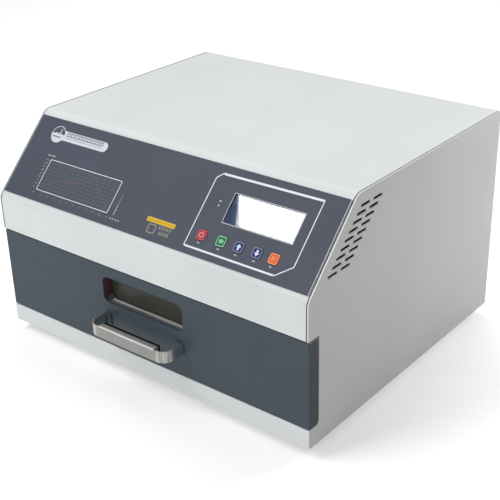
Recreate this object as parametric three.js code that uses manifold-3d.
// Bench infrared reflow oven with a pull-out drawer. Millimetres, +Z up.
// X runs to the right along the front, Y runs back into the oven.
// Inside the oven group, y = 0 is the front of the fascia band and z = 0 is the underside of the case.
// The outer group moves that to the exported frame: the middle of the footprint, at the soles of the feet.
import * as THREE from 'three';
import { mergeVertices } from 'three/addons/utils/BufferGeometryUtils.js';
import Module from 'manifold-3d';

const wasm = await Module();
wasm.setup();

// ---------------------------------------------------------------- driving dimensions
const WIDTH = 430;
const DEPTH = 363;
const HEIGHT = 242;
const FOOT_HEIGHT = 12;
const HANDLE_REACH = 28;
const SHEET = 1;
const THIN_SHEET = 0.8;
const GAP = 0.4;

// Case profile, seen from the side
const SLOPE_FOOT_Z = 161.3;
const SLOPE_TOP_Y = 79.6;
const BAND_BOTTOM_Z = 121;
const APRON_TOP_Z = 21.4;
const APRON_Y = 1.2;
const NOTCH_Y = 17.4;
const NOTCH_RADIUS = 4;
const FOLD_RADIUS = 14;
const SIDE_SKIN = 1;
const SIDE_RIM = 1.7;
const COVER_SEAM = 1.3;
const SIDE_FLANGE_X = 200;
const FOLDED_RETURN_Y = 13;
const REAR_LIP = 14;

// Drawer front and its window
const DRAWER_FACE_Y = 1.6;
const DRAWER_HALF_WIDTH = 214.6;
const DRAWER_BOTTOM_Z = 22.4;
const DRAWER_TOP_Z = 118.8;
const WINDOW_X = -1.3;
const WINDOW_HALF_WIDTH = 57.5;
const WINDOW_BOTTOM_Z = 74.6;
const WINDOW_TOP_Z = 106.5;
const WINDOW_RADIUS = 8;
const DRAWER_CORE_BACK_Y = 12.3;
const INNER_PANEL_Y = 12.7;
const INNER_PANEL = { halfWidth: 208, bottom: 25, top: 116.6 };
const INSULATION_SLAB = { halfWidth: 205, bottom: 27, top: 116 };
const GLASS_Y = 14.1;
const GLASS = { halfWidth: 64, bottom: 70, top: 111, thickness: 3 };
const WINDOW_FLANGE = 8;
const GASKET = { inner: 167, outer: 175, bottom: 68, underTop: 113, top: 116.6 };

// Handle
const HANDLE_X = -1.3;
const GRIP_HALF_LENGTH = 40.4;
const GRIP_BOTTOM_Z = 48.6;
const GRIP_HEIGHT = 13.8;
const GRIP_DEPTH = 8;
const STRAP_X = 56.3;
const STRAP_RADIUS = 13;
const STRAP = 1.6;

// Bulkhead behind the drawer front, inner frames, shelf and heated chamber
const BULKHEAD_Y = 19.2;
const FRAME_X = 186.4;
const FRAME_FRONT_Y = 24;
const FRAME_BACK_Y = 345;
const SHELF_Z = 152.3;
const SHELF_FRONT_Y = 48;
const CHAMBER_X = 163;
const CHAMBER_BOTTOM_Z = 30;
const CHAMBER_BACK_Y = 330;
const CHAMBER_MOUTH_TOP_Z = 112;
const SLIDE_MOUTH = { halfWidth: 190, bottom: 22.5, top: 66 };
const REFLECTOR_Z = 137.5;
const BLANKET_TOP_Z = 150;
const HEATER_RADIUS = 5;
const HEATER_Z = 126;
const HEATER_HALF_LENGTH = 172;
const HEATER_YS = [60, 110, 240, 290];
const THERMOCOUPLE = { x: 120, z: 115, tipY: 262, endY: 350, radius: 1.5 };
const IMPELLER_Y = 175;
const SHAFT_HOLE_RADIUS = 7;
const SHAFT_RADIUS = 3;
const IMPELLER = { radius: 44, hubRadius: 10, bottom: 122, discBottom: 133, discTop: 134.4 };
const IMPELLER_BLADES = { count: 8, thickness: 1.2 };
const MOTOR = { flangeRadius: 34, flange: 2, radius: 27, height: 39, chamfer: 3 };
const MOTOR_BEARING = { bore: 3.5, depth: 12 };

// Drawer carcass and slides
const CARCASS_X = 172.2;
const CARCASS_BOTTOM_Z = 24;
const CARCASS_TOP_Z = 64;
const CARCASS_BACK_Y = 326;
const TRAY_X = 150;
const TRAY_FRONT_Y = 28;
const TRAY_BACK_Y = 318;
const TRAY_Z = 27;
const TRAY_LIP = 14;
const TRAY_SLOT = { columns: 6, rows: 9, stepX: 46, stepY: 30, firstY: 25, halfLength: 15, halfWidth: 3 };
const TRAY_LEG = { x: 140, halfWidth: 4 };
const RAIL_LENGTH = 300;
const RAIL_MIDDLE_Z = 45.5;

// Control panel on the slope: x across, s up the slope from its foot, n outward
const OVERLAY_LEFT = -210.6;
const OVERLAY_RIGHT = 211.6;
const OVERLAY_LOW = 7;
const OVERLAY_HIGH = 105.6;
const OVERLAY_TOP_N = 1.1;
const LCD = { x0: 87.5, x1: 172.5, s0: 48.3, s1: 80 };
const COVER_CUT_N = [-4, 3];
const KEY_S = 29.6;
const KEY_SIZE = 11.2;
const KEY_TOP_N = 1.7;
const KEY_STEM_N = -6.7;
const LED_X = 74.6;
const LED_RADIUS = 1.4;
const BOARD_N = -16;
const BOARD = { x0: 50, x1: 190, s0: 8, s1: 102, thickness: 1.6 };
const KEYS = [
  { name: 'stop_key', x: 71.8, color: 0xc8353c },
  { name: 'start_key', x: 97, color: 0x2f8f57 },
  { name: 'up_key', x: 118.8, color: 0x2d4694 },
  { name: 'down_key', x: 141, color: 0x2d4694 },
  { name: 'set_key', x: 161, color: 0xe4702a },
];
const LEDS = [
  { name: 'heating_led', s: 67.9 },
  { name: 'cooling_led', s: 63.2 },
];

// Side vents: two sloping columns of slots
const VENT = { y: 37.9, z: 175.2, length: 15.8, height: 3.1, rows: 9 };
const VENT_STEP = { y: 6.65, z: 6.6, column: 21 };

// Rear: exhaust fan, collar, power inlet and rocker switch
const FAN_Z = 95;
const FAN_SIZE = 80;
const FAN_BORE = 37;
const FAN_FRONT_Y = 335;
const FAN_BACK_Y = 360;
const FAN_HUB_RADIUS = 16;
const FAN_STRUT = { depth: 3.5, width: 3 };
const FAN_BLADES = { count: 7, chord: 18, thickness: 1.4, tipGap: 1.6 };
const FAN_BLADE_PITCH = THREE.MathUtils.degToRad(38);
const COLLAR = { flangeRadius: 46, flange: 1.5, radius: 37, bore: 35, length: 20 };
const EXHAUST_GRILLE = { slots: 14, firstX: -170, step: 9, halfWidth: 1.5, z0: 180, z1: 215 };
const INLET = { x: 150, z: 45, halfWidth: 13.6, halfHeight: 10 };
const SWITCH = { x: 150, z: 96, halfWidth: 10, halfHeight: 13 };
const PANEL_HOLE_PLAY = 0.4;
const FITTING_GAP = 0.3;
const ROCKER_TILT = THREE.MathUtils.degToRad(8);

const FOOT_X = 185;
const FOOT_YS = [40, 330];
const FOOT_RADIUS = 10;

// Electronics deck on the shelf
const POWER_BOARD = { x0: -190, x1: -70, y0: 230, y1: 335, z: 164, thickness: 1.6, inset: 6 };
const TRANSFORMER = { x: 117, y: 265, height: 48 };
const HEAT_SINK = { x0: -60, x1: 20, y0: 290, y1: 330, base: 4, height: 26, fins: 8, fin: 2 };

const ROUND_STEPS = 24;
const SMALL_ROUND_STEPS = 12;

// ---------------------------------------------------------------- materials
const metal = (color, roughness) => new THREE.MeshStandardMaterial({ color, roughness, metalness: 1 });
const coat = (color, roughness) => new THREE.MeshStandardMaterial({ color, roughness, metalness: 0 });
const WHITE_PAINT = () => coat(0xdcdfdf, 0.45);
const SIDE_PAINT = () => coat(0xd2d3d2, 0.45);
const GREY_PAINT = () => coat(0x535c66, 0.5);
const STEEL = () => metal(0xb4b6b8, 0.35);
const BRIGHT_STEEL = () => metal(0xcfcfcd, 0.25);
const FIBRE = () => coat(0xe8e4d8, 0.95);
const BLACK_PLASTIC = () => coat(0x1c1d1f, 0.55);
const GREEN_BOARD = () => coat(0x1f5a3a, 0.6);

// ---------------------------------------------------------------- solids and booleans
function solidOf(geometry) {
  const bare = geometry.clone();
  bare.deleteAttribute('normal');
  bare.deleteAttribute('uv');
  const merged = mergeVertices(bare, 1e-4);
  const corners = merged.index.array;
  const kept = [];
  for (let i = 0; i < corners.length; i += 3) {
    const [a, b, c] = [corners[i], corners[i + 1], corners[i + 2]];
    if (a !== b && b !== c && c !== a) kept.push(a, b, c);
  }
  const vertProperties = merged.attributes.position.array;
  return new wasm.Manifold(new wasm.Mesh({ numProp: 3, vertProperties, triVerts: new Uint32Array(kept) }));
}

function geometryOf(solid) {
  const mesh = solid.getMesh();
  const geometry = new THREE.BufferGeometry();
  geometry.setAttribute('position', new THREE.BufferAttribute(mesh.vertProperties, 3));
  geometry.setIndex(new THREE.BufferAttribute(mesh.triVerts, 1));
  geometry.computeVertexNormals();
  return geometry;
}

function join(...geometries) {
  return geometryOf(geometries.map(solidOf).reduce((whole, piece) => whole.add(piece)));
}

function cut(geometry, ...tools) {
  return geometryOf(tools.map(solidOf).reduce((whole, tool) => whole.subtract(tool), solidOf(geometry)));
}

function solidify(geometry) {
  return geometryOf(solidOf(geometry));
}

function box(x0, x1, y0, y1, z0, z1) {
  return alongZ(plate(rectangle(x0, x1, y0, y1)), z0, z1);
}

// Extrudes an outline between two planes; place gives the corner for outline point (u, v) on plane t
function sweep(shape, start, end, place) {
  const geometry = new THREE.ExtrudeGeometry(shape, { depth: 1, bevelEnabled: false, steps: 1 });
  const corners = geometry.attributes.position;
  for (let i = 0; i < corners.count; i += 1) {
    const t = corners.getZ(i) > 0.5 ? end : start;
    corners.setXYZ(i, ...place(corners.getX(i), corners.getY(i), t));
  }
  return geometry;
}

function alongX(shape, x0, x1) {
  return sweep(shape, x0, x1, (u, v, t) => [t, u, v]);
}

function alongY(shape, y0, y1) {
  return sweep(shape, y1, y0, (u, v, t) => [u, t, v]);
}

function alongZ(shape, z0, z1) {
  return sweep(shape, z0, z1, (u, v, t) => [u, v, t]);
}

function rodX(x0, x1, y, z, radius, steps = SMALL_ROUND_STEPS) {
  const rod = new THREE.CylinderGeometry(radius, radius, x1 - x0, steps).rotateZ(Math.PI / 2);
  return rod.translate((x0 + x1) / 2, y, z);
}

function rodY(y0, y1, x, z, radius, steps = SMALL_ROUND_STEPS) {
  return new THREE.CylinderGeometry(radius, radius, y1 - y0, steps).translate(x, (y0 + y1) / 2, z);
}

function rodZ(z0, z1, x, y, radius, steps = SMALL_ROUND_STEPS) {
  const rod = new THREE.CylinderGeometry(radius, radius, z1 - z0, steps).rotateX(Math.PI / 2);
  return rod.translate(x, y, (z0 + z1) / 2);
}

// ---------------------------------------------------------------- outlines
const point = (x, y) => new THREE.Vector2(x, y);

function rectangle(x0, x1, y0, y1) {
  return [point(x0, y0), point(x1, y0), point(x1, y1), point(x0, y1)];
}

// Rounds the corners of a line of points; radii gives one radius per point, and 0 leaves it sharp
function rounded(points, radii, steps = 4) {
  const result = [];
  points.forEach((corner, i) => {
    const radius = radii[i];
    if (radius === 0) {
      result.push(corner);
      return;
    }
    const before = points.at(i - 1).clone().sub(corner).normalize();
    const after = points[(i + 1) % points.length].clone().sub(corner).normalize();
    const half = Math.acos(before.dot(after)) / 2;
    const bisector = before.clone().add(after).normalize();
    const centre = corner.clone().addScaledVector(bisector, radius / Math.sin(half));
    const start = corner.clone().addScaledVector(before, radius / Math.tan(half)).sub(centre);
    const turn = (Math.PI - 2 * half) * Math.sign(after.cross(before));
    for (let k = 0; k <= steps; k += 1) {
      result.push(start.clone().rotateAround(point(0, 0), turn * k / steps).add(centre));
    }
  });
  return result;
}

function roundedRectangle(x0, x1, y0, y1, radius, steps = 3) {
  return rounded(rectangle(x0, x1, y0, y1), [radius, radius, radius, radius], steps);
}

function circle(x, y, radius, steps) {
  return Array.from({ length: steps }, (_, i) => {
    const angle = 2 * Math.PI * i / steps;
    return point(x + radius * Math.cos(angle), y + radius * Math.sin(angle));
  });
}

// Moves every edge of a closed anticlockwise outline inward by a distance
function inset(points, distance) {
  return points.map((corner, i) => {
    const before = corner.clone().sub(points.at(i - 1)).normalize();
    const after = points[(i + 1) % points.length].clone().sub(corner).normalize();
    const inward = point(-before.y - after.y, before.x + after.x);
    return corner.clone().addScaledVector(inward, distance / (1 + before.dot(after)));
  });
}

function plate(outline) {
  return new THREE.Shape(outline);
}

// A plate with holes right through it; along is alongX, alongY or alongZ
function pierced(along, outline, holes, low, high) {
  const tools = holes.map((hole) => along(plate(hole), low - 1, high + 1));
  return cut(along(plate(outline), low, high), ...tools);
}

// ---------------------------------------------------------------- scene graph
const oven = new THREE.Group();
const slope = new THREE.Group();
const slopeAngle = Math.atan2(HEIGHT - SLOPE_FOOT_Z, SLOPE_TOP_Y);
slope.position.set(0, 0, SLOPE_FOOT_Z);
slope.rotation.x = slopeAngle;
oven.add(slope);
slope.updateMatrix();

function add(name, geometry, material, parent = oven) {
  const mesh = new THREE.Mesh(geometry, material);
  mesh.name = name;
  parent.add(mesh);
  return mesh;
}

// Adds a right-hand piece and its left-hand mirror image
function addPair(name, geometry, material) {
  add(`${name}_right`, geometry, material());
  const mirrored = geometry.clone().scale(-1, 1, 1);
  mirrored.index.array.reverse();
  mirrored.computeVertexNormals();
  add(`${name}_left`, mirrored, material());
}

// ---------------------------------------------------------------- case
function caseOutline() {
  const sideFront = APRON_Y + SHEET + GAP;
  return [
    point(sideFront, 0),
    point(DEPTH, 0),
    point(DEPTH, HEIGHT),
    point(SLOPE_TOP_Y, HEIGHT),
    point(0, SLOPE_FOOT_Z),
    point(0, BAND_BOTTOM_Z),
    point(NOTCH_Y, BAND_BOTTOM_Z),
    point(NOTCH_Y, APRON_TOP_Z),
    point(sideFront, APRON_TOP_Z),
  ];
}

function roundedCase(distance) {
  const fold = FOLD_RADIUS - distance;
  const notch = NOTCH_RADIUS + distance;
  return rounded(inset(caseOutline(), distance), [0, 0, 0, fold, fold, 0, 0, notch, 0]);
}

// A slot with round ends
function slotAt(x, y, length, height) {
  const radius = 0.48 * height;
  return roundedRectangle(x - length / 2, x + length / 2, y - height / 2, y + height / 2, radius, 2);
}

function ventSlots() {
  const slots = [];
  for (let column = 0; column < 2; column += 1) {
    for (let row = 0; row < VENT.rows; row += 1) {
      const y = VENT.y + row * VENT_STEP.y + column * VENT_STEP.column;
      const z = VENT.z + row * VENT_STEP.z;
      slots.push(slotAt(y, z, VENT.length, VENT.height));
    }
  }
  return slots;
}

// A side is a shallow pan: a vented skin, a rim beside the cover's edge, and a flange under the cover
function sidePanels() {
  const half = WIDTH / 2;
  const flangeOut = SHEET + GAP;
  const flangeIn = flangeOut + SHEET;
  const insideSkin = half - SIDE_SKIN / 2;
  const skin = pierced(alongX, roundedCase(0), ventSlots(), half - SIDE_SKIN, half);
  const rim = pierced(alongX, roundedCase(0), [roundedCase(flangeIn)], half - SIDE_RIM, insideSkin);
  const flangeHole = [roundedCase(flangeIn)];
  const flange = pierced(alongX, roundedCase(flangeOut), flangeHole, SIDE_FLANGE_X, insideSkin);
  addPair('side_panel', join(skin, rim, flange), SIDE_PAINT);
}

function basePan() {
  const half = WIDTH / 2;
  const inner = half - SIDE_RIM - GAP;
  const lipX = SIDE_FLANGE_X - 1;
  const lipY = DEPTH - SHEET - GAP;
  const apron = box(-half, half, APRON_Y, APRON_Y + SHEET, 0, APRON_TOP_Z);
  const apronReturn = box(-inner, inner, APRON_Y, FOLDED_RETURN_Y, APRON_TOP_Z - SHEET, APRON_TOP_Z);
  const floor = box(-inner, inner, APRON_Y, DEPTH, 0, SHEET);
  const rearLip = box(-lipX, lipX, lipY - SHEET, lipY, 0, REAR_LIP);
  add('base_pan', join(floor, apron, apronReturn, rearLip), WHITE_PAINT());
}

// One folded sheet: fascia band, control slope and roof
function frontTopCover() {
  const inner = WIDTH / 2 - SIDE_RIM - COVER_SEAM;
  const lipX = SIDE_FLANGE_X - 1;
  const lipY = DEPTH - SHEET - GAP;
  const lowerMitre = SHEET * Math.tan((Math.PI / 2 - slopeAngle) / 2);
  const upperMitre = SHEET * Math.tan(slopeAngle / 2);
  const profile = [
    point(SHEET, BAND_BOTTOM_Z),
    point(SHEET, SLOPE_FOOT_Z - lowerMitre),
    point(SLOPE_TOP_Y + upperMitre, HEIGHT - SHEET),
    point(DEPTH, HEIGHT - SHEET),
    point(DEPTH, HEIGHT),
    point(SLOPE_TOP_Y, HEIGHT),
    point(0, SLOPE_FOOT_Z),
    point(0, BAND_BOTTOM_Z),
  ];
  const [outside, inside] = [FOLD_RADIUS, FOLD_RADIUS - SHEET];
  const folded = rounded(profile, [0, inside, inside, 0, 0, outside, outside, 0]);
  const sheet = alongX(plate(folded), -inner, inner);
  const bandReturn = box(-inner, inner, 0, FOLDED_RETURN_Y, BAND_BOTTOM_Z, BAND_BOTTOM_Z + SHEET);
  const rearLip = box(-lipX, lipX, lipY - SHEET, lipY, HEIGHT - REAR_LIP, HEIGHT);
  const displayCut = coverCut(LCD.x0, LCD.x1, LCD.s0, LCD.s1, 2);
  const lampCut = coverCut(LED_X, LED_X, LEDS[1].s, LEDS[0].s, 3);
  const keyCuts = KEYS.map(({ x }) => coverCut(x, x, KEY_S, KEY_S, KEY_SIZE / 2 + 1.2));
  const cover = cut(join(sheet, bandReturn, rearLip), displayCut, lampCut, ...keyCuts);
  add('front_top_cover', cover, WHITE_PAINT());
}

function onSlope(geometry) {
  return geometry.applyMatrix4(slope.matrix);
}

// A tool that opens the cover's slope around a rectangle, with play on every side
function coverCut(x0, x1, s0, s1, play) {
  return onSlope(box(x0 - play, x1 + play, s0 - play, s1 + play, ...COVER_CUT_N));
}

// The outline of a fitting's body in the rear panel, grown on every side
function fittingHole({ x, z, halfWidth, halfHeight }, growth) {
  const [across, up] = [halfWidth + growth, halfHeight + growth];
  return rectangle(x - across, x + across, z - up, z + up);
}

function rearPanel() {
  const inner = WIDTH / 2 - SIDE_RIM - GAP;
  const holes = [
    circle(0, FAN_Z, COLLAR.bore, ROUND_STEPS),
    fittingHole(INLET, PANEL_HOLE_PLAY),
    fittingHole(SWITCH, PANEL_HOLE_PLAY),
  ];
  const { slots, firstX, step, halfWidth, z0, z1 } = EXHAUST_GRILLE;
  for (let i = 0; i < slots; i += 1) {
    const x = firstX + step * i;
    holes.push(rectangle(x - halfWidth, x + halfWidth, z0, z1));
  }
  const outline = rectangle(-inner, inner, SHEET + GAP, HEIGHT - SHEET - GAP);
  add('rear_panel', pierced(alongY, outline, holes, DEPTH - SHEET, DEPTH), WHITE_PAINT());
}

function feet() {
  const height = FOOT_HEIGHT - FITTING_GAP;
  const profile = [
    point(0, 0),
    point(FOOT_RADIUS - 2, 0),
    point(FOOT_RADIUS - 0.8, 1.2),
    point(FOOT_RADIUS, height),
    point(0, height),
  ];
  FOOT_YS.forEach((y, row) => {
    [-FOOT_X, FOOT_X].forEach((x, side) => {
      const name = `foot_${['front', 'rear'][row]}_${['left', 'right'][side]}`;
      const foot = new THREE.LatheGeometry(profile, 16).rotateX(Math.PI / 2);
      add(name, solidify(foot), BLACK_PLASTIC()).position.set(x, y, -FOOT_HEIGHT);
    });
  });
}

// ---------------------------------------------------------------- control panel
function controlOverlay() {
  const { x0, x1, s0, s1 } = LCD;
  const keyHalf = KEY_SIZE / 2 + GAP;
  const keyHoles = KEYS.map(({ x }) => roundedSquare(x, KEY_S, keyHalf, 2.4));
  const lampHoles = LEDS.map(({ s }) => circle(LED_X, s, LED_RADIUS + GAP, SMALL_ROUND_STEPS));
  const holes = [rectangle(x0, x1, s0, s1), ...keyHoles, ...lampHoles];
  const film = rectangle(OVERLAY_LEFT, OVERLAY_RIGHT, OVERLAY_LOW, OVERLAY_HIGH);
  const sheet = pierced(alongZ, film, holes, FITTING_GAP, OVERLAY_TOP_N);
  add('control_overlay', sheet, coat(0x585d6a, 0.45), slope);
}

function roundedSquare(x, y, half, radius) {
  return roundedRectangle(x - half, x + half, y - half, y + half, radius);
}

function display() {
  const { x0, x1, s0, s1 } = LCD;
  const pane = box(x0 + GAP, x1 - GAP, s0 + GAP, s1 - GAP, 0, OVERLAY_TOP_N - FITTING_GAP);
  add('lcd_window', solidify(pane), coat(0xe8eef2, 0.1), slope);

  const bezel = box(x0 - 1.5, x1 + 1.5, s0 - 1.5, s1 + 1.5, -8.2, -GAP);
  const carrier = box(x0 - 6, x1 + 6, s0 - 8, s1 + 14, -9.6, -8);
  const header = box(x0 + 4, x0 + 48, s1 + 8, s1 + 11, BOARD_N + 2, -9);
  add('lcd_module', join(bezel, carrier, header), coat(0x2c3a6b, 0.4), slope);
}

// Each key is a rounded cap whose stem ends just above its switch
function keys() {
  KEYS.forEach(({ name, x, color }) => {
    const cap = alongZ(plate(roundedSquare(x, KEY_S, KEY_SIZE / 2, 2)), -1, KEY_TOP_N);
    const stem = rodZ(KEY_STEM_N, 0, x, KEY_S, 2.5, 8);
    add(name, join(cap, stem), coat(color, 0.4), slope);
  });
}

function lamps() {
  const profile = [
    point(0, 0),
    point(LED_RADIUS, 0),
    point(LED_RADIUS, 15),
    point(0.6 * LED_RADIUS, 15.7),
    point(0, 15.9),
  ];
  LEDS.forEach(({ name, s }) => {
    const lamp = new THREE.LatheGeometry(profile, 8).rotateX(Math.PI / 2);
    add(name, solidify(lamp), coat(0xd8dce0, 0.3), slope).position.set(LED_X, s, BOARD_N + 2);
  });
}

// A component soldered to the back of the control board
function onBoardBack({ x, s, width, height, depth }) {
  const [across, up] = [width / 2, height / 2];
  return box(x - across, x + across, s - up, s + up, BOARD_N - depth, BOARD_N + 0.5);
}

function controlBoard() {
  const front = BOARD_N + BOARD.thickness;
  const board = box(BOARD.x0, BOARD.x1, BOARD.s0, BOARD.s1, BOARD_N, front);
  const switches = KEYS.map(({ x }) => {
    const body = box(x - 3, x + 3, KEY_S - 3, KEY_S + 3, front - 0.6, front + 4.4);
    const plunger = rodZ(front + 3.4, KEY_STEM_N - 0.8, x, KEY_S, 1.7, 8);
    return join(body, plunger);
  });
  const processor = onBoardBack({ x: 115, s: 59, width: 14, height: 14, depth: 2.5 });
  const mainConnector = onBoardBack({ x: 165, s: 64, width: 30, height: 8, depth: 9 });
  const sensorConnector = onBoardBack({ x: 74, s: 82, width: 20, height: 8, depth: 9 });
  const whole = join(board, ...switches, processor, mainConnector, sensorConnector);
  add('control_board', whole, GREEN_BOARD(), slope);
}

// ---------------------------------------------------------------- inner structure
function innerFrames() {
  const back = FRAME_X + SHEET;
  const edge = SIDE_FLANGE_X - 1.5;
  const low = SHEET + GAP;
  const high = SHELF_Z - GAP;
  const section = [
    point(FRAME_X, low),
    point(edge, low),
    point(edge, low + SHEET),
    point(back, low + SHEET),
    point(back, high - SHEET),
    point(edge, high - SHEET),
    point(edge, high),
    point(FRAME_X, high),
  ];
  addPair('inner_frame', solidify(alongY(plate(section), FRAME_FRONT_Y, FRAME_BACK_Y)), STEEL);
}

// The plate that the closed drawer seals against. The slides and the carcass pass through its lower part.
function frontBulkhead() {
  const wide = SLIDE_MOUTH.halfWidth;
  const narrow = CHAMBER_X - 0.5;
  const mouth = [
    point(-wide, SLIDE_MOUTH.bottom),
    point(wide, SLIDE_MOUTH.bottom),
    point(wide, SLIDE_MOUTH.top),
    point(narrow, SLIDE_MOUTH.top),
    point(narrow, CHAMBER_MOUTH_TOP_Z),
    point(-narrow, CHAMBER_MOUTH_TOP_Z),
    point(-narrow, SLIDE_MOUTH.top),
    point(-wide, SLIDE_MOUTH.top),
  ];
  const edge = SIDE_FLANGE_X - 1.5;
  const outline = rectangle(-edge, edge, 3, SHELF_Z - GAP);
  add('front_bulkhead', pierced(alongY, outline, [mouth], BULKHEAD_Y, BULKHEAD_Y + SHEET), STEEL());
}

function electronicsShelf() {
  const edge = SIDE_FLANGE_X - 1.5;
  const outline = rectangle(-edge, edge, SHELF_FRONT_Y, FRAME_BACK_Y);
  add('electronics_shelf', pierced(alongZ, outline, [shaftHole()], SHELF_Z, SHELF_Z + SHEET), STEEL());
}

function shaftHole() {
  return circle(0, IMPELLER_Y, SHAFT_HOLE_RADIUS, SMALL_ROUND_STEPS);
}

// ---------------------------------------------------------------- heated chamber
function chamberSides() {
  const top = SHELF_Z - GAP;
  const outside = CHAMBER_X + THIN_SHEET;
  const flange = outside + 12;
  const section = [
    point(CHAMBER_X, CHAMBER_BOTTOM_Z),
    point(outside, CHAMBER_BOTTOM_Z),
    point(outside, top - THIN_SHEET),
    point(flange, top - THIN_SHEET),
    point(flange, top),
    point(CHAMBER_X, top),
  ];
  const wall = alongY(plate(section), FRAME_FRONT_Y, CHAMBER_BACK_Y + THIN_SHEET);
  const holeRadius = HEATER_RADIUS + 0.6;
  const tubeHoles = HEATER_YS.map((y) => rodX(CHAMBER_X - 2, outside + 2, y, HEATER_Z, holeRadius));
  addPair('chamber_wall', cut(wall, ...tubeHoles), BRIGHT_STEEL);
}

// Seven slots let the fumes through to the exhaust fan
function chamberBack() {
  const holes = [circle(THERMOCOUPLE.x, THERMOCOUPLE.z, THERMOCOUPLE.radius + 0.6, 8)];
  for (let i = -3; i <= 3; i += 1) {
    holes.push(rectangle(9 * i - 2.2, 9 * i + 2.2, FAN_Z - 28, FAN_Z + 12));
  }
  const edge = CHAMBER_X - GAP;
  const outline = rectangle(-edge, edge, CHAMBER_BOTTOM_Z, SHELF_Z - GAP);
  const wall = pierced(alongY, outline, holes, CHAMBER_BACK_Y, CHAMBER_BACK_Y + THIN_SHEET);
  add('chamber_wall_rear', wall, BRIGHT_STEEL());
}

// An upturned channel that hangs between the side walls, with a felt blanket in it
function reflectorAndBlanket() {
  const edge = CHAMBER_X - GAP;
  const within = edge - THIN_SHEET;
  const face = REFLECTOR_Z + THIN_SHEET;
  const back = CHAMBER_BACK_Y - GAP;
  const channel = [
    point(-edge, REFLECTOR_Z),
    point(edge, REFLECTOR_Z),
    point(edge, BLANKET_TOP_Z),
    point(within, BLANKET_TOP_Z),
    point(within, face),
    point(-within, face),
    point(-within, BLANKET_TOP_Z),
    point(-edge, BLANKET_TOP_Z),
  ];
  const opening = alongZ(plate(shaftHole()), REFLECTOR_Z - 2, face + 2);
  add('chamber_reflector', cut(alongY(plate(channel), FRAME_FRONT_Y, back), opening), BRIGHT_STEEL());

  const blanket = rectangle(-within + GAP, within - GAP, FRAME_FRONT_Y, back);
  const felt = pierced(alongZ, blanket, [shaftHole()], face + GAP, BLANKET_TOP_Z);
  add('insulation_blanket', felt, FIBRE());
}

function heaters() {
  HEATER_YS.forEach((y, i) => {
    const tube = rodX(-HEATER_HALF_LENGTH, HEATER_HALF_LENGTH, y, HEATER_Z, HEATER_RADIUS);
    add(`heater_tube_${i + 1}`, solidify(tube), coat(0xd9cfc2, 0.2));
  });
}

function thermocouple() {
  const { x, z, tipY, endY, radius } = THERMOCOUPLE;
  const nutStart = CHAMBER_BACK_Y + THIN_SHEET + GAP;
  const probe = rodY(tipY, endY, x, z, radius, 8);
  const nut = rodY(nutStart, nutStart + 5, x, z, 4, 6);
  add('thermocouple', join(probe, nut), STEEL());
}

function circulationFan() {
  const bodyZ = SHELF_Z + SHEET + GAP;
  const { flangeRadius, flange, radius, height, chamfer } = MOTOR;
  const { bore, depth } = MOTOR_BEARING;
  const profile = [
    point(bore, 0),
    point(flangeRadius, 0),
    point(flangeRadius, flange),
    point(radius, flange),
    point(radius, height - chamfer),
    point(radius - chamfer, height),
    point(0, height),
    point(0, depth),
    point(bore, depth),
    point(bore, 0),
  ];
  const motor = new THREE.LatheGeometry(profile, ROUND_STEPS).rotateX(Math.PI / 2);
  add('circulation_motor', solidify(motor), metal(0x8f9296, 0.4)).position.set(0, IMPELLER_Y, bodyZ);

  const { hubRadius, bottom, discBottom, discTop } = IMPELLER;
  const { count, thickness } = IMPELLER_BLADES;
  const tip = IMPELLER.radius - 1;
  const shaft = rodZ(bottom, bodyZ + depth - 3, 0, IMPELLER_Y, SHAFT_RADIUS, 8);
  const disc = rodZ(discBottom, discTop, 0, IMPELLER_Y, IMPELLER.radius, ROUND_STEPS);
  const vanes = Array.from({ length: count }, (_, i) => {
    const vane = box(hubRadius, tip, -thickness / 2, thickness / 2, bottom, discBottom + 0.5);
    return vane.rotateZ(2 * Math.PI * i / count).translate(0, IMPELLER_Y, 0);
  });
  add('circulation_impeller', join(shaft, disc, ...vanes), STEEL());
}

// ---------------------------------------------------------------- rear fittings
function exhaustFan() {
  const half = FAN_SIZE / 2;
  const outline = roundedRectangle(-half, half, FAN_Z - half, FAN_Z + half, 5, 2);
  const bore = circle(0, FAN_Z, FAN_BORE, ROUND_STEPS);
  const rim = pierced(alongY, outline, [bore], FAN_FRONT_Y, FAN_BACK_Y);
  const strutFront = FAN_BACK_Y - FAN_STRUT.depth;
  const hub = rodY(strutFront, FAN_BACK_Y, 0, FAN_Z, FAN_HUB_RADIUS, 16);
  const struts = [45, 135, 225, 315].map((angle) => {
    const side = FAN_STRUT.width / 2;
    const strut = box(FAN_HUB_RADIUS - 4, FAN_BORE + 1, strutFront, FAN_BACK_Y, -side, side);
    return strut.rotateY(THREE.MathUtils.degToRad(angle)).translate(0, 0, FAN_Z);
  });
  add('exhaust_fan_frame', join(rim, hub, ...struts), BLACK_PLASTIC());

  const { count, chord, thickness, tipGap } = FAN_BLADES;
  const rotorHub = rodY(FAN_FRONT_Y + 2, strutFront - 0.7, 0, 0, FAN_HUB_RADIUS, 16);
  const middleY = (FAN_FRONT_Y + strutFront) / 2;
  const blades = Array.from({ length: count }, (_, i) => {
    const span = [FAN_HUB_RADIUS - 4, FAN_BORE - tipGap];
    const blade = box(...span, -chord / 2, chord / 2, -thickness / 2, thickness / 2);
    const turn = 2 * Math.PI * i / count;
    return blade.rotateX(FAN_BLADE_PITCH).rotateY(turn).translate(0, middleY, 0);
  });
  add('exhaust_rotor', join(rotorHub, ...blades), BLACK_PLASTIC()).position.set(0, 0, FAN_Z);
}

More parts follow.
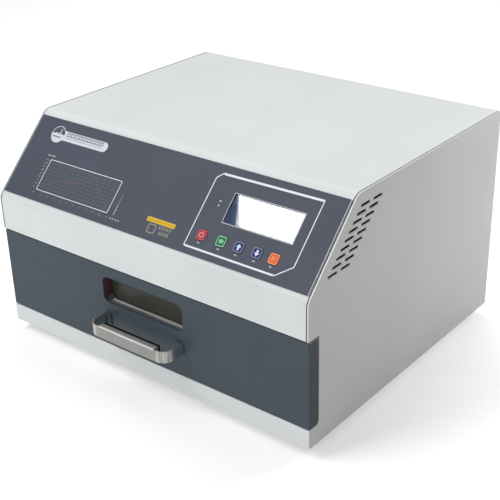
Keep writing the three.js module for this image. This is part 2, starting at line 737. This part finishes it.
function exhaustCollar() {
  const { flangeRadius, flange, radius, bore, length } = COLLAR;
  const seat = FITTING_GAP + flange;
  const profile = [
    point(bore, FITTING_GAP),
    point(flangeRadius, FITTING_GAP),
    point(flangeRadius, seat),
    point(radius, seat),
    point(radius, length),
    point(bore, length),
    point(bore, FITTING_GAP),
  ];
  const collar = new THREE.LatheGeometry(profile, ROUND_STEPS);
  add('exhaust_collar', solidify(collar), STEEL()).position.set(0, DEPTH, FAN_Z);
}

// A socket with three flat pins in a recess whose two upper corners are cut off
function powerInlet() {
  const { x, z, halfWidth, halfHeight } = INLET;
  const rim = roundedRectangle(x - 25, x + 25, z - 14, z + 14, 4);
  const bezel = alongY(plate(rim), DEPTH + FITTING_GAP, DEPTH + 2.8);
  const shell = alongY(plate(fittingHole(INLET, 0)), DEPTH - 20, DEPTH + 1);
  const [across, up, corner] = [halfWidth - 1.6, halfHeight - 1.8, 4.2];
  const recess = [
    point(x - across, z - up),
    point(x + across, z - up),
    point(x + across, z + up - corner),
    point(x + across - corner, z + up),
    point(x - across + corner, z + up),
    point(x - across, z + up - corner),
  ];
  const socket = cut(join(bezel, shell), alongY(plate(recess), DEPTH - 14, DEPTH + 4));
  const pin = (dx, dz) => {
    return box(x + dx - 1, x + dx + 1, DEPTH - 15, DEPTH - 1, z + dz - 2, z + dz + 2);
  };
  add('power_inlet', join(socket, pin(-7, 1), pin(7, 1), pin(0, 3.6)), BLACK_PLASTIC());
}

function rockerSwitch() {
  const { x, z } = SWITCH;
  const rim = roundedRectangle(x - 12, x + 12, z - 15, z + 15, 2);
  const bezel = alongY(plate(rim), DEPTH + FITTING_GAP, DEPTH + 2);
  const shell = alongY(plate(fittingHole(SWITCH, 0)), DEPTH - 18, DEPTH + 1);
  const pocket = box(x - 7.5, x + 7.5, DEPTH - 11, DEPTH + 4, z - 11.2, z + 11.2);
  add('switch_frame', cut(join(bezel, shell), pocket), BLACK_PLASTIC());

  // Rocker section about its pivot: first number outward through the rear panel, second along its length
  const section = [
    point(-5, -5),
    point(-2, -10),
    point(4.2, -10),
    point(5, 0),
    point(4.2, 10),
    point(-2, 10),
    point(-5, 5),
  ];
  const rocker = add('power_rocker', solidify(alongX(plate(section), -7.1, 7.1)), coat(0xb3262b, 0.35));
  rocker.position.set(x, DEPTH - 1.5, z);
  rocker.rotation.x = ROCKER_TILT;
}

// ---------------------------------------------------------------- electronics deck
const deckZ = SHELF_Z + SHEET + GAP;

function powerBoard() {
  const { x0, x1, y0, y1, z, thickness } = POWER_BOARD;
  const surface = z + 1;
  const board = box(x0, x1, y0, y1, z, z + thickness);
  const pillars = [x0 + POWER_BOARD.inset, x1 - POWER_BOARD.inset].flatMap((x) => {
    return [y0 + POWER_BOARD.inset, y1 - POWER_BOARD.inset].map((y) => rodZ(deckZ, z + 0.5, x, y, 3, 8));
  });
  const block = ({ x, y, width, length, height }) => {
    const [across, along] = [width / 2, length / 2];
    return box(x - across, x + across, y - along, y + along, surface, surface + height);
  };
  const relayBank = block({ x: -165, y: 282, width: 30, length: 40, height: 17 });
  const frontChoke = block({ x: -129, y: 265, width: 22, length: 30, height: 15 });
  const rearChoke = block({ x: -129, y: 305, width: 22, length: 30, height: 15 });
  const terminals = block({ x: -95, y: 309, width: 26, length: 34, height: 11 });
  const capacitor = rodZ(surface, surface + 29, -98, 262, 11, SMALL_ROUND_STEPS);
  const whole = join(board, ...pillars, relayBank, frontChoke, rearChoke, capacitor, terminals);
  add('power_board', whole, GREEN_BOARD());
}

function mainsTransformer() {
  const { x, y, height } = TRANSFORMER;
  const core = box(x - 29, x + 29, y - 15, y + 15, deckZ, deckZ + height);
  const winding = box(x - 19, x + 19, y - 27, y + 27, deckZ + 10, deckZ + height - 10);
  const strap = box(x - 39, x + 39, y - 9, y + 9, deckZ, deckZ + 2);
  add('mains_transformer', join(core, winding, strap), metal(0x6e6a64, 0.5));
}

function heatSink() {
  const { x0, x1, y0, y1, base, height, fins, fin } = HEAT_SINK;
  const step = (x1 - x0 - fin) / (fins - 1);
  const blades = Array.from({ length: fins }, (_, i) => {
    const x = x0 + step * i;
    return box(x, x + fin, y0, y1, deckZ + base - 1, deckZ + height);
  });
  add('heat_sink', join(box(x0, x1, y0, y1, deckZ, deckZ + base), ...blades), metal(0xb9bcc0, 0.35));
}

// ---------------------------------------------------------------- drawer
function windowOutline(growth) {
  const half = WINDOW_HALF_WIDTH + growth;
  const [bottom, top] = [WINDOW_BOTTOM_Z - growth, WINDOW_TOP_Z + growth];
  return roundedRectangle(WINDOW_X - half, WINDOW_X + half, bottom, top, WINDOW_RADIUS + growth, 4);
}

// A tool that rounds the lower rear corner of the drawer's returns, to clear the rounded notch
function notchCorner(corner, reach) {
  const radius = NOTCH_RADIUS;
  const past = radius + 1;
  const waste = [
    point(corner.x - past, corner.y - 1),
    point(corner.x + 1, corner.y - 1),
    point(corner.x + 1, corner.y + past),
    point(corner.x, corner.y + past),
    corner,
    point(corner.x - past, corner.y),
  ];
  return alongX(plate(rounded(waste, [0, 0, 0, 0, radius, 0])), -reach, reach);
}

// Painted pan: a face with returns that fill the notches in the side panels
function drawerFront() {
  const half = DRAWER_HALF_WIDTH;
  const back = NOTCH_Y - GAP;
  const outer = rectangle(-half, half, DRAWER_BOTTOM_Z, DRAWER_TOP_Z);
  const face = pierced(alongY, outer, [windowOutline(0)], DRAWER_FACE_Y, DRAWER_FACE_Y + SHEET);
  const returns = pierced(alongY, outer, [inset(outer, SHEET)], DRAWER_FACE_Y + SHEET / 2, back);
  const corner = point(back, DRAWER_BOTTOM_Z);
  add('drawer_front', cut(join(face, returns), notchCorner(corner, half + 1)), GREY_PAINT());
}

function drawerWindow() {
  const start = DRAWER_FACE_Y + SHEET + FITTING_GAP;
  const sleeve = pierced(alongY, windowOutline(SHEET), [windowOutline(0)], start, DRAWER_CORE_BACK_Y);
  const flange = pierced(alongY, windowOutline(WINDOW_FLANGE), [windowOutline(0)], start, start + 1);
  add('window_frame', join(sleeve, flange), BRIGHT_STEEL());
  const outline = rectangle(-GLASS.halfWidth, GLASS.halfWidth, GLASS.bottom, GLASS.top);
  const glass = alongY(plate(outline), GLASS_Y, GLASS_Y + GLASS.thickness);
  add('window_glass', solidify(glass), coat(0x322c28, 0.08));
}

function drawerCore() {
  const start = DRAWER_FACE_Y + SHEET + FITTING_GAP + 1 + GAP;
  const slab = rectangle(
    -INSULATION_SLAB.halfWidth,
    INSULATION_SLAB.halfWidth,
    INSULATION_SLAB.bottom,
    INSULATION_SLAB.top,
  );
  const slabHole = windowOutline(SHEET + GAP);
  add('drawer_insulation', pierced(alongY, slab, [slabHole], start, DRAWER_CORE_BACK_Y), FIBRE());
  const { halfWidth, bottom, top } = INNER_PANEL;
  const liner = rectangle(-halfWidth, halfWidth, bottom, top);
  const linerPlate = pierced(alongY, liner, [windowOutline(0)], INNER_PANEL_Y, INNER_PANEL_Y + 1);
  add('drawer_inner_panel', linerPlate, BRIGHT_STEEL());
}

// A felt strip round the top and sides of the chamber's mouth
function doorGasket() {
  const { inner, outer, bottom, underTop, top } = GASKET;
  const outline = [
    point(-outer, bottom),
    point(-inner, bottom),
    point(-inner, underTop),
    point(inner, underTop),
    point(inner, bottom),
    point(outer, bottom),
    point(outer, top),
    point(-outer, top),
  ];
  const strip = alongY(plate(outline), GLASS_Y, BULKHEAD_Y - FITTING_GAP);
  add('door_gasket', solidify(strip), coat(0xcac3b4, 0.9));
}

function drawerCarcass() {
  const inner = CARCASS_X - SHEET;
  const section = [
    point(-CARCASS_X, CARCASS_BOTTOM_Z),
    point(CARCASS_X, CARCASS_BOTTOM_Z),
    point(CARCASS_X, CARCASS_TOP_Z),
    point(inner, CARCASS_TOP_Z),
    point(inner, CARCASS_BOTTOM_Z + SHEET),
    point(-inner, CARCASS_BOTTOM_Z + SHEET),
    point(-inner, CARCASS_TOP_Z),
    point(-CARCASS_X, CARCASS_TOP_Z),
  ];
  const channel = alongY(plate(section), GLASS_Y, CARCASS_BACK_Y);
  const flangeBack = GLASS_Y + SHEET;
  const frontFlange = box(-CARCASS_X, CARCASS_X, GLASS_Y, flangeBack, CARCASS_BOTTOM_Z, CARCASS_TOP_Z);
  add('drawer_carcass', join(channel, frontFlange), STEEL());
}

function drawerTray() {
  const top = TRAY_Z + THIN_SHEET;
  const outer = rectangle(-TRAY_X, TRAY_X, TRAY_FRONT_Y, TRAY_BACK_Y);
  const { columns, rows, stepX, stepY, firstY, halfLength, halfWidth } = TRAY_SLOT;
  const slots = [];
  for (let column = 0; column < columns; column += 1) {
    for (let row = 0; row < rows; row += 1) {
      const x = stepX * (column - (columns - 1) / 2);
      const y = TRAY_FRONT_Y + firstY + stepY * row;
      slots.push(rectangle(x - halfLength, x + halfLength, y - halfWidth, y + halfWidth));
    }
  }
  const floor = pierced(alongZ, outer, slots, TRAY_Z, top);
  const lip = pierced(alongZ, outer, [inset(outer, THIN_SHEET)], TRAY_Z, TRAY_Z + TRAY_LIP);
  const legBottom = CARCASS_BOTTOM_Z + SHEET + FITTING_GAP;
  const legs = [-TRAY_LEG.x, TRAY_LEG.x].map((x) => {
    const [x0, x1] = [x - TRAY_LEG.halfWidth, x + TRAY_LEG.halfWidth];
    return box(x0, x1, TRAY_FRONT_Y + 4, TRAY_BACK_Y - 4, legBottom, top);
  });
  add('drawer_tray', join(floor, lip, ...legs), STEEL());
}

// A square bar whose ends are bent straps that curve back to the drawer face
function handle() {
  const front = DRAWER_FACE_Y - HANDLE_REACH;
  const foot = DRAWER_FACE_Y - 0.3;
  const inner = STRAP_X - STRAP;
  const outline = (side) => {
    const line = [
      point(side * (GRIP_HALF_LENGTH - 2), front),
      point(side * STRAP_X, front),
      point(side * STRAP_X, foot),
      point(side * (inner - 8), foot),
      point(side * (inner - 8), foot - STRAP),
      point(side * inner, foot - STRAP),
      point(side * inner, front + STRAP),
      point(side * (GRIP_HALF_LENGTH - 2), front + STRAP),
    ];
    return rounded(line, [0, STRAP_RADIUS, 0, 0, 0, 0, STRAP_RADIUS - STRAP, 0], 6);
  };
  const top = GRIP_BOTTOM_Z + GRIP_HEIGHT;
  const grip = box(-GRIP_HALF_LENGTH, GRIP_HALF_LENGTH, front, front + GRIP_DEPTH, GRIP_BOTTOM_Z, top);
  const straps = [1, -1].map((side) => alongZ(plate(outline(side)), GRIP_BOTTOM_Z, top));
  add('handle', join(grip, ...straps), metal(0xa9a39b, 0.35)).position.x = HANDLE_X;
}

// ---------------------------------------------------------------- telescopic slides
// A slide is three nested channels, each with its web at webX and its flanges towards openX
function channelSection(webX, openX, halfHeight) {
  const side = Math.sign(openX - webX);
  const face = webX + side * SHEET;
  const [low, high] = [RAIL_MIDDLE_Z - halfHeight, RAIL_MIDDLE_Z + halfHeight];
  const line = [
    point(webX, low),
    point(openX, low),
    point(openX, low + SHEET),
    point(face, low + SHEET),
    point(face, high - SHEET),
    point(openX, high - SHEET),
    point(openX, high),
    point(webX, high),
  ];
  return side > 0 ? line : line.reverse();
}

function slides() {
  const outer = channelSection(FRAME_X - GAP, 176.5, 17.5);
  const middle = channelSection(184, 175.2, 15.2);
  const inner = channelSection(CARCASS_X + GAP, 181.6, 12.6);
  const rail = (section, y) => solidify(alongY(plate(section), y, y + RAIL_LENGTH));
  addPair('slide_outer', rail(outer, FRAME_FRONT_Y), STEEL);
  addPair('slide_middle', rail(middle, FRAME_FRONT_Y - 2), STEEL);
  addPair('slide_inner', rail(inner, GLASS_Y + SHEET + GAP), STEEL);
}

// ---------------------------------------------------------------- assembly
basePan();
sidePanels();
frontTopCover();
rearPanel();
feet();
controlOverlay();
display();
keys();
lamps();
controlBoard();
innerFrames();
frontBulkhead();
electronicsShelf();
chamberSides();
chamberBack();
reflectorAndBlanket();
heaters();
thermocouple();
circulationFan();
exhaustFan();
exhaustCollar();
powerInlet();
rockerSwitch();
powerBoard();
mainsTransformer();
heatSink();
drawerFront();
drawerWindow();
drawerCore();
doorGasket();
drawerCarcass();
drawerTray();
handle();
slides();

const frontmost = DRAWER_FACE_Y - HANDLE_REACH;
const rearmost = DEPTH + COLLAR.length;
oven.position.set(0, -(frontmost + rearmost) / 2, FOOT_HEIGHT);
const part = new THREE.Group();
part.add(oven);

export default part;
